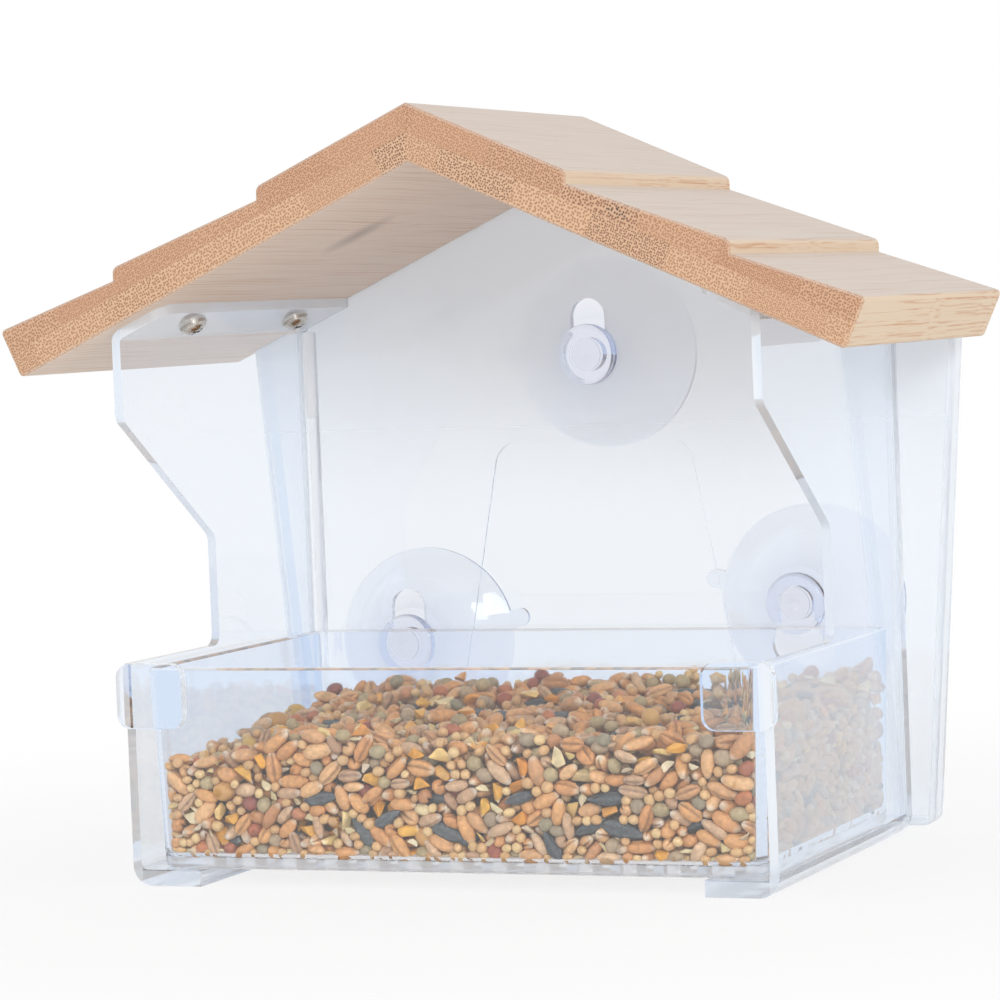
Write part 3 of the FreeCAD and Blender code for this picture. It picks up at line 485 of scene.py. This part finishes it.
def seed_coat(name, tones, mottle_mm, mottle, roughness, tip=None, groove=None):
    """Dry seed skin: each grain takes one tone, mottled, with other colours in tips and grooves; a darker
    groove is a painted shade.
    """
    material = new_material(name)
    geometry = node(material, "NewGeometry")
    tone = node(material, "ValToRGB", {"Fac": geometry.outputs["Random Per Island"]})
    stops = tone.color_ramp.elements
    stops[0].color = linear(tones[0])
    stops[1].color = linear(tones[-1])
    for number, code in enumerate(tones[1:-1], start=1):
        stops.new(number / (len(tones) - 1)).color = linear(code)
    colour = tone.outputs["Color"]
    # a tip fades in over the last fifth of the grain
    if tip:
        along = node(material, "Attribute", {}, attribute_name="along").outputs["Fac"]
        ends = node(material, "MapRange", {
            "Value": along, "From Min": 0.62, "From Max": 0.95, "To Max": 0.85}).outputs[0]
        colour = node(material, "Mix", {0: ends, 6: colour, 7: linear(tip)}, data_type="RGBA").outputs[2]
    # a groove colour darkens the wheat's crease as painted shade, and lightens the sunflower's ribs
    if groove:
        lines = node(material, "Attribute", {}, attribute_name="groove").outputs["Fac"]
        colour = node(material, "Mix", {
            0: lines, 6: colour, 7: linear(groove)}, data_type="RGBA").outputs[2]
    place = node(material, "TexCoord").outputs["Object"]
    speck = node(material, "TexNoise", {
        "Vector": place, "Scale": 1 / (mottle_mm * MM), "Detail": 4.0, "Roughness": 0.6}).outputs["Fac"]
    shade = node(material, "MapRange", {
        "Value": speck, "From Min": 0.3, "From Max": 0.7,
        "To Min": 1 - mottle, "To Max": 1 + mottle}).outputs[0]
    skin = node(material, "VectorMath", {0: colour, "Scale": shade}, operation="SCALE").outputs[0]
    bump = node(material, "Bump", {"Height": speck, "Strength": 0.4, "Distance": SKIN_DEPTH})
    coat = node(material, "BsdfPrincipled", {
        "Base Color": skin, "Roughness": roughness, "IOR": 1.45, "Normal": bump.outputs[0]})
    node(material, "OutputMaterial", {"Surface": coat.outputs[0]})
    return material


# Wheat: plump tan grains with a crease down one side and a pale brush at one end.
# Their bran is dry and matt, threshed clean of chaff, and some of it has weathered paler.
CREASE = -90
CREASE_DEPTH = 0.6
CREASE_SHADE = 0.65


def wheat_outline(x):
    """Radius of a wheat grain along its length."""
    return (1 - abs(x) ** 2.3) ** 0.55 * (1 - 0.1 * x)


wheat_turns = [CREASE, -74, -45, -8, 30, 66, 114, 150, 188, 225, 254]
wheat_points, wheat_faces, wheat_crease = turned_grain(wheat_turns, 5, wheat_outline)
wheat_crease[1:-1:len(wheat_turns)] = 1
wheat_points[:, 2] *= 1 - CREASE_DEPTH * wheat_crease
# the crease is also painted darker in the groove colour: a painted shade
wheat_shape = [(wheat_points, wheat_faces, CREASE_SHADE * wheat_crease)]
mix.append(dict(
    name="seed_wheat", share=0.24, size=(6.5, 3.4, 3.0), balls=3, flat=False, shapes=wheat_shape,
    material=seed_coat(
        "ripe_wheat_bran", ["#C78850", "#D99F62", "#CF9057", "#E0AF79", "#B97E50"], mottle_mm=1.1,
        mottle=0.24, roughness=0.5, tip="#D8C6AA", groove="#93623A")))
mix.append(dict(
    name="seed_wheat_pale", share=0.11, size=(6.0, 2.9, 2.6), balls=3, flat=False, shapes=wheat_shape,
    material=seed_coat(
        "weathered_wheat_bran", ["#C09873", "#D5B088", "#AF8665", "#CEA67F"], mottle_mm=1.1,
        mottle=0.26, roughness=0.6, tip="#CFC0AE", groove="#94735A")))


# Millet: small round seeds with a thin shiny skin.
# They are threshed out of their husks, and roll into the gaps between larger grains.
def round_outline(x):
    """Radius of a round seed along its length."""
    return math.sqrt(1 - x * x)


mix.append(dict(
    name="seed_millet", share=0.32, size=(2.5, 2.4, 2.2), balls=1, flat=False,
    shapes=[turned_grain(range(0, 360, 45), 4, round_outline)],
    material=seed_coat(
        "polished_millet_skin", ["#CC9B66", "#DDB178", "#C0905C", "#E4C388", "#C89A6A"], mottle_mm=0.9,
        mottle=0.14, roughness=0.4)))


# Sorghum: round red-brown grains, darker and more purple where the husk sat.
# Their skin is waxy and takes a soft shine in the sack.
mix.append(dict(
    name="seed_sorghum", share=0.036, size=(4.0, 3.6, 3.2), balls=1, flat=False,
    shapes=[turned_grain(range(0, 360, 36), 5, round_outline)],
    material=seed_coat(
        "waxy_sorghum_skin", ["#AE5A36", "#8A4A3E", "#BE7443", "#A0533A", "#C88C5C"], mottle_mm=1.6,
        mottle=0.3, roughness=0.42)))


# Vetch: small olive and grey-brown peas, a little flattened.
# Their skin is hard and dull, dried on the plant.
mix.append(dict(
    name="seed_vetch", share=0.06, size=(3.8, 3.5, 3.0), balls=1, flat=True,
    shapes=[turned_grain(range(0, 360, 36), 5, round_outline)],
    material=seed_coat(
        "dull_vetch_skin", ["#A38E66", "#B49F74", "#8C836A", "#A48C70", "#B49A78"], mottle_mm=1.0,
        mottle=0.2, roughness=0.55)))


# Sunflower: flat pointed seeds in grey-black husks with fine ribs.
# The husk is dry and woody, and paler along its ribs and at its tip.
RIB_TONE = 0.5


def sunflower_outline(x):
    """Radius of a sunflower seed along its length."""
    return (1 + x) ** 0.55 * (1 - x) ** 0.85 / 1.12


husk_points, husk_faces, husk_ribs = turned_grain(range(0, 360, 30), 7, sunflower_outline)
husk_ribs[1:-1:2] = 1
mix.append(dict(
    name="seed_sunflower", share=0.026, size=(8.4, 3.7, 2.7), balls=4, flat=True,
    shapes=[(husk_points, husk_faces, RIB_TONE * husk_ribs)],
    material=seed_coat(
        "ribbed_sunflower_husk", ["#3C3F40", "#494C4B", "#565957", "#343738"], mottle_mm=0.6,
        mottle=0.5, roughness=0.65, tip="#7C7E7E", groove="#6E7273")))


# Cracked maize: broken kernels, glassy orange outside and floury cream inside.
# They are cracked between rollers, which leaves flat broken faces.
mix.append(dict(
    name="seed_maize", share=0.07, size=(6.0, 4.7, 3.4), balls=2, flat=True,
    shapes=[broken_piece(11, 0.14) for variant in range(8)],
    material=seed_coat(
        "cracked_maize", ["#E09A2E", "#E6AE48", "#D98826", "#E8C67C", "#EEDCB0"], mottle_mm=2.4,
        mottle=0.25, roughness=0.38, tip="#F4ECD6")))


# Chips: broken husk and hulled oats, cream and pale yellow.
# They are what threshing and cracking leave in the mix.
mix.append(dict(
    name="seed_chips", share=0.09, size=(4.0, 2.7, 1.7), balls=1, flat=True,
    shapes=[broken_piece(8, 0.1) for variant in range(8)],
    material=seed_coat(
        "broken_husk", ["#E8DABA", "#D6C088", "#E2CFA4", "#C9B498", "#D6B25A"], mottle_mm=1.2,
        mottle=0.2, roughness=0.55)))


# Peas: a few large smooth peas and beans, peach to brown.
# They are dried whole, with a tight satin skin.
mix.append(dict(
    name="seed_pea", share=0.01, size=(5.4, 5.0, 4.6), balls=1, flat=False,
    shapes=[turned_grain(range(0, 360, 24), 7, round_outline)],
    material=seed_coat(
        "smooth_pea_skin", ["#D9A06A", "#BE9844", "#C58E54", "#C9A650"], mottle_mm=3.0, mottle=0.15,
        roughness=0.45)))


# The heap: grains are thrown in at random, then pushed apart and down until they lie against each other.
# Each grain is a straight row of balls while it settles.
# Grains deep inside, which nothing shows, are taken out again.
TRAY_WALL = 2.0
TRAY_DRAFT = 1.5
TRAY_CORNER = 3.0
CLEARANCE = 0.15
LEAST_ROOM = 0.05
HEAP_LOW = 23.5
HEAP_RISE_RIGHT = 9
HEAP_RISE_WIDTH = 40
HEAP_RISE_CURVE = 0.6
HEAP_RISE_BACK = 7.5
HEAP_SAMPLES = 20000
PACKED = 0.63
GROWTH_SPREAD = 0.07
LEAST_GROWN = 0.85
MOST_GROWN = 1.18
LYING = np.array([1.0, 1.0, 0.35])
middle = (tray_low + tray_high) / 2
half = (tray_high - tray_low) / 2 - TRAY_WALL


def heap_top(spots):
    """Height of the heap: low at the left front, a little higher to the right and at the back."""
    back = (spots[:, 1] - tray_low[1]) / (tray_high[1] - tray_low[1])
    left = (spots[:, 0] - tray_low[0]) / HEAP_RISE_WIDTH
    rise = HEAP_RISE_RIGHT * np.clip(left, 0, 1) ** HEAP_RISE_CURVE
    return HEAP_LOW + rise + HEAP_RISE_BACK * np.clip(back, 0, 1)


def inside_tray(balls, radius):
    """Balls moved back inside the tray's leaning walls, round corners and floor."""
    balls[:, 2] = np.maximum(balls[:, 2], floor_top + radius)
    lean = TRAY_DRAFT * (tray_high[2] - balls[:, 2]) / (tray_high[2] - tray_low[2])
    for way in (0, 1):
        room = half[way] - lean - radius - CLEARANCE
        balls[:, way] = np.clip(balls[:, way], middle[way] - room, middle[way] + room)
    flat = balls[:, :2] - middle[:2]
    core = half[:2] - lean[:, None] - TRAY_CORNER
    over = np.maximum(np.abs(flat) - core, 0)
    far = np.linalg.norm(over, axis=1)
    room = np.maximum(TRAY_CORNER - radius - CLEARANCE, LEAST_ROOM)
    cornered = (over.min(axis=1) > 0) & (far > room)
    pulled = np.sign(flat) * (core + over * (room / np.maximum(far, 1e-6))[:, None])
    balls[cornered, :2] = (middle[:2] + pulled)[cornered]
    return balls


def near_pairs(balls, reach):
    """Pairs of balls in the same or neighbouring cells of a grid."""
    cell = np.floor((balls - balls.min(axis=0)) / reach).astype(int) + 1
    span = cell.max(axis=0) + 2
    key = (cell[:, 0] * span[1] + cell[:, 1]) * span[2] + cell[:, 2]
    order = np.argsort(key, kind="stable")
    ranked = key[order]
    firsts = []
    seconds = []
    for way in np.ndindex(3, 3, 3):
        step = ((way[0] - 1) * span[1] + way[1] - 1) * span[2] + way[2] - 1
        if step < 0:
            continue
        start = np.searchsorted(ranked, ranked + step, "left")
        stop = np.searchsorted(ranked, ranked + step, "right")
        if step == 0:
            start = np.arange(len(ranked)) + 1
        count = np.maximum(stop - start, 0)
        firsts.append(np.repeat(np.arange(len(ranked)), count))
        run = np.arange(count.sum()) - np.repeat(np.cumsum(count) - count, count)
        seconds.append(np.repeat(start, count) + run)
    first = order[np.concatenate(firsts)]
    second = order[np.concatenate(seconds)]
    near = np.linalg.norm(balls[first] - balls[second], axis=1) < reach
    return first[near], second[near]


shares = np.array([kind["share"] for kind in mix])
volumes = np.array([math.pi / 6 * np.prod(kind["size"]) for kind in mix])
floor_area = 4 * half[0] * half[1]
spots = chance.uniform(middle - half, middle + half, (HEAP_SAMPLES, 3))
heap_volume = floor_area * (heap_top(spots) - floor_top).mean()
total = int(PACKED * heap_volume / (shares / shares.sum() @ volumes))
kind_of = chance.choice(len(mix), total, p=shares / shares.sum())
grown = chance.normal(1.0, GROWTH_SPREAD, total).clip(LEAST_GROWN, MOST_GROWN)
centre = chance.uniform(middle - half, middle + half, (total, 3))
centre[:, 2] = floor_top + (heap_top(centre) - floor_top) * chance.uniform(0, 1, total)
axis = chance.normal(size=(total, 3)) * LYING
axis /= np.linalg.norm(axis, axis=1)[:, None]

# each grain's row of balls, thinner towards its ends
END_TAPER = 0.25
owner = []
offset = []
radius = []
for grain in range(total):
    kind = mix[kind_of[grain]]
    length, width, thick = [grown[grain] * side for side in kind["size"]]
    ball = (width + thick) / 4 if kind["balls"] > 1 else (length + width + thick) / 6
    row_end = max(length / 2 - ball, 0) if kind["balls"] > 1 else 0.0
    for place in np.linspace(-row_end, row_end, kind["balls"]):
        owner.append(grain)
        offset.append(place)
        radius.append(ball * (1 - END_TAPER * (abs(place) / max(length / 2, 1e-6))))
owner = np.array(owner)
offset = np.array(offset)
radius = np.array(radius)
ball_count = np.bincount(owner, minlength=total)

# rounds of pushing apart, sinking and falling; neighbours are looked up again every few rounds
ROUNDS = 120
LOOK_AGAIN = 5
SINK = 0.04
FALL = 0.4
EASE = 1.6
STEADY = 1e-3
NEAR_MARGIN = 0.3
look_reach = radius.max() + np.quantile(radius, 0.95) + NEAR_MARGIN
for step in range(ROUNDS):
    balls = centre[owner] + offset[:, None] * axis[owner]
    if step % LOOK_AGAIN == 0:
        first, second = near_pairs(balls, look_reach)
        apart = owner[first] != owner[second]
        first = first[apart]
        second = second[apart]
    gap = balls[first] - balls[second]
    distance = np.linalg.norm(gap, axis=1) + 1e-9
    overlap = np.maximum(radius[first] + radius[second] - distance, 0)
    push = gap * (overlap / distance / 2)[:, None]
    touching = overlap > 0
    contacts = np.bincount(first, touching, len(balls)) + np.bincount(second, touching, len(balls))
    ease = EASE / np.maximum(contacts, EASE)
    for way in range(3):
        shove = np.bincount(first, push[:, way], len(balls))
        shove = shove - np.bincount(second, push[:, way], len(balls))
        balls[:, way] += ease * shove
    balls[:, 2] -= np.where(contacts > 0, SINK * (1 - step / ROUNDS), FALL)
    balls = inside_tray(balls, radius)
    pull = np.zeros((total, 3))
    for way in range(3):
        centre[:, way] = np.bincount(owner, balls[:, way], total) / ball_count
        pull[:, way] = np.bincount(owner, offset * (balls[:, way] - centre[owner, way]), total)
    axis = pull + STEADY * axis
    axis /= np.linalg.norm(axis, axis=1)[:, None]

# what lies near a wall, the floor or the open top is kept, and flat grains turn their face to it
SHOWN_DEPTH = 6.5
CELLS = 30
column = np.floor((centre[:, :2] - tray_low[:2]) / (tray_high[:2] - tray_low[:2]) * CELLS).astype(int)
tops = np.zeros((CELLS, CELLS))
np.maximum.at(tops, (column[:, 0], column[:, 1]), centre[:, 2])
depth = np.stack([
    middle[0] + half[0] - centre[:, 0], centre[:, 0] - middle[0] + half[0],
    middle[1] + half[1] - centre[:, 1], centre[:, 1] - middle[1] + half[1],
    tops[column[:, 0], column[:, 1]] - centre[:, 2], centre[:, 2] - floor_top], axis=1)
outward = np.array([(1, 0, 0), (-1, 0, 0), (0, 1, 0), (0, -1, 0), (0, 0, 1), (0, 0, -1)], float)
shown = depth.min(axis=1) < SHOWN_DEPTH
nearest = outward[depth.argmin(axis=1)]

# flat grains tilt a little from that face, and lie nearly along it
TILT = 0.35
LAID = 0.9
SIZE_SPREAD = 0.06


def grain_piece(kind, grains):
    """One mesh of all grains of a kind."""
    facing = chance.normal(size=(len(grains), 3))
    if kind["flat"]:
        facing = TILT * facing + nearest[grains]
    ahead = axis[grains]
    if kind["flat"]:
        ahead = ahead - LAID * (ahead * nearest[grains]).sum(axis=1)[:, None] * nearest[grains]
        ahead /= np.linalg.norm(ahead, axis=1)[:, None]
    aside = np.cross(facing, ahead)
    aside /= np.linalg.norm(aside, axis=1)[:, None]
    above = np.cross(ahead, aside)
    turn = np.stack([ahead, aside, above], axis=2)
    uneven = chance.normal(1, SIZE_SPREAD, (len(grains), 3))
    size = np.array(kind["size"]) / 2 * grown[grains][:, None] * uneven
    points = []
    faces = []
    along = []
    groove = []
    start = 0
    for variant, (shape, sides, lines) in enumerate(kind["shapes"]):
        mine = np.arange(len(grains)) % len(kind["shapes"]) == variant
        local = shape[None, :, :] * size[mine][:, None, :]
        placed = np.einsum("nij,nvj->nvi", turn[mine], local) + centre[grains[mine]][:, None, :]
        points.append(placed.reshape(-1, 3))
        along.append(np.tile(shape[:, 0], mine.sum()))
        groove.append(np.tile(lines, mine.sum()))
        for grain in range(mine.sum()):
            base = start + grain * len(shape)
            faces += [tuple(base + corner for corner in side) for side in sides]
        start += mine.sum() * len(shape)
    mesh = bpy.data.meshes.new(kind["name"])
    mesh.from_pydata((np.concatenate(points) * MM).tolist(), [], faces)
    mesh.attributes.new("along", "FLOAT", "POINT").data.foreach_set("value", np.concatenate(along))
    mesh.attributes.new("groove", "FLOAT", "POINT").data.foreach_set("value", np.concatenate(groove))
    mesh.materials.append(kind["material"])
    mesh.polygons.foreach_set("use_smooth", [len(kind["shapes"]) == 1] * len(mesh.polygons))
    piece = bpy.data.objects.new(kind["name"], mesh)
    scene.collection.objects.link(piece)
    return piece


for number, kind in enumerate(mix):
    piece = grain_piece(kind, np.flatnonzero(shown & (kind_of == number)))
    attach(piece, "tray")


# Studio: a floor of pale matt paper in a white room, both white where they are seen directly.
# Three soft lamps light it: a large one at the left, a small one in front, and one at the right.
# The floor keeps the feeder's shadow near it, and fades to white further out.
FLOOR_REACH = 20.0
FLOOR_DROP = 0.2 * MM
SHADOW_REACH = 0.1
FADE_REACH = 0.35
SHADOW_WHITE = 0.8
PAPER_GLOW = 0.4
WHITE = (1.0, 1.0, 1.0, 1.0)
ROOM_LIGHT = 0.78


def seen_directly(owner):
    """1 for rays from the camera, from reflections and through clear walls, and 0 for other light."""
    ray = node(owner, "LightPath").outputs
    bare = node(owner, "Math", {
        0: ray["Is Camera Ray"], 1: ray["Is Glossy Ray"]}, operation="MAXIMUM").outputs[0]
    return node(owner, "Math", {0: bare, 1: ray["Is Transmission Ray"]}, operation="MAXIMUM").outputs[0]


paper = new_material("matt_studio_paper")
paper_diffuse = node(paper, "BsdfDiffuse", {"Color": linear("#F2F2F2")})
paper_white = node(paper, "Emission", {"Color": WHITE, "Strength": 1.0})
paper_place = node(paper, "TexCoord").outputs["Object"]
paper_far = node(paper, "VectorMath", {0: paper_place}, operation="LENGTH").outputs["Value"]
paper_fade = node(paper, "MapRange", {
    "Value": paper_far, "From Min": SHADOW_REACH, "From Max": FADE_REACH,
    "To Min": SHADOW_WHITE, "To Max": 1.0}, interpolation_type="SMOOTHSTEP").outputs[0]
paper_seen = node(paper, "MapRange", {
    "Value": seen_directly(paper), "To Min": PAPER_GLOW, "To Max": 1.0}).outputs[0]
paper_clear = node(paper, "Math", {0: paper_fade, 1: paper_seen}, operation="MULTIPLY").outputs[0]
paper_mix = node(paper, "MixShader", {
    0: paper_clear, 1: paper_diffuse.outputs[0], 2: paper_white.outputs[0]})
node(paper, "OutputMaterial", {"Surface": paper_mix.outputs[0]})
floor_mesh = bpy.data.meshes.new("studio_floor")
ways = ((-1, -1), (1, -1), (1, 1), (-1, 1))
corners = [(x * FLOOR_REACH, y * FLOOR_REACH, -FLOOR_DROP) for x, y in ways]
floor_mesh.from_pydata(corners, [], [(0, 1, 2, 3)])
floor_mesh.materials.append(paper)
floor = bpy.data.objects.new("studio_floor", floor_mesh)
scene.collection.objects.link(floor)

room = bpy.data.worlds.new("white_room")
room.use_nodes = True
room.node_tree.nodes.clear()
room_level = node(room, "MapRange", {
    "Value": seen_directly(room), "To Min": ROOM_LIGHT, "To Max": 1.0}).outputs[0]
room_light = node(room, "Background", {"Color": WHITE, "Strength": room_level})
node(room, "OutputWorld", {"Surface": room_light.outputs[0]})
scene.world = room

aim = Vector((0.0, 0.0, 0.08))
for name, place, size, power in (
        ("soft_lamp_left", (-0.6, -0.95, 0.6), 0.6, 0.9),
        ("soft_lamp_front", (0.66, -1.05, 0.47), 0.3, 3.1),
        ("soft_lamp_right", (0.9, -0.2, 0.5), 0.5, 0.8)):
    lamp = bpy.data.lights.new(name, "AREA")
    lamp.size = size
    lamp.energy = power
    stand = bpy.data.objects.new(name, lamp)
    stand.location = place
    stand.rotation_euler = (aim - Vector(place)).to_track_quat("-Z", "Y").to_euler()
    scene.collection.objects.link(stand)


# Camera: a long lens, to the right of the middle and a little higher than the tray.
# Its place, angles and focal length in pixels come from a fit to the roof's corners.
PLACE = (0.33386, -0.8235, 0.12602)
AZIMUTH = math.radians(22.416)
ELEVATION = math.radians(2.869)
ROLL = math.radians(-2.324)
FOCAL_PIXELS = 3923.14
FRAME_PIXELS = 1000
lens = bpy.data.cameras.new("photo_camera")
lens.lens = lens.sensor_width * FOCAL_PIXELS / FRAME_PIXELS
backward = Vector((
    math.sin(AZIMUTH) * math.cos(ELEVATION),
    -math.cos(AZIMUTH) * math.cos(ELEVATION),
    math.sin(ELEVATION)))
level_right = Vector((math.cos(AZIMUTH), math.sin(AZIMUTH), 0))
level_up = backward.cross(level_right)
right = level_right * math.cos(ROLL) + level_up * math.sin(ROLL)
upward = level_up * math.cos(ROLL) - level_right * math.sin(ROLL)
turned = Matrix((right, upward, backward)).transposed().to_4x4()
camera = bpy.data.objects.new("photo_camera", lens)
camera.matrix_world = Matrix.Translation(PLACE) @ turned
scene.collection.objects.link(camera)
scene.camera = camera
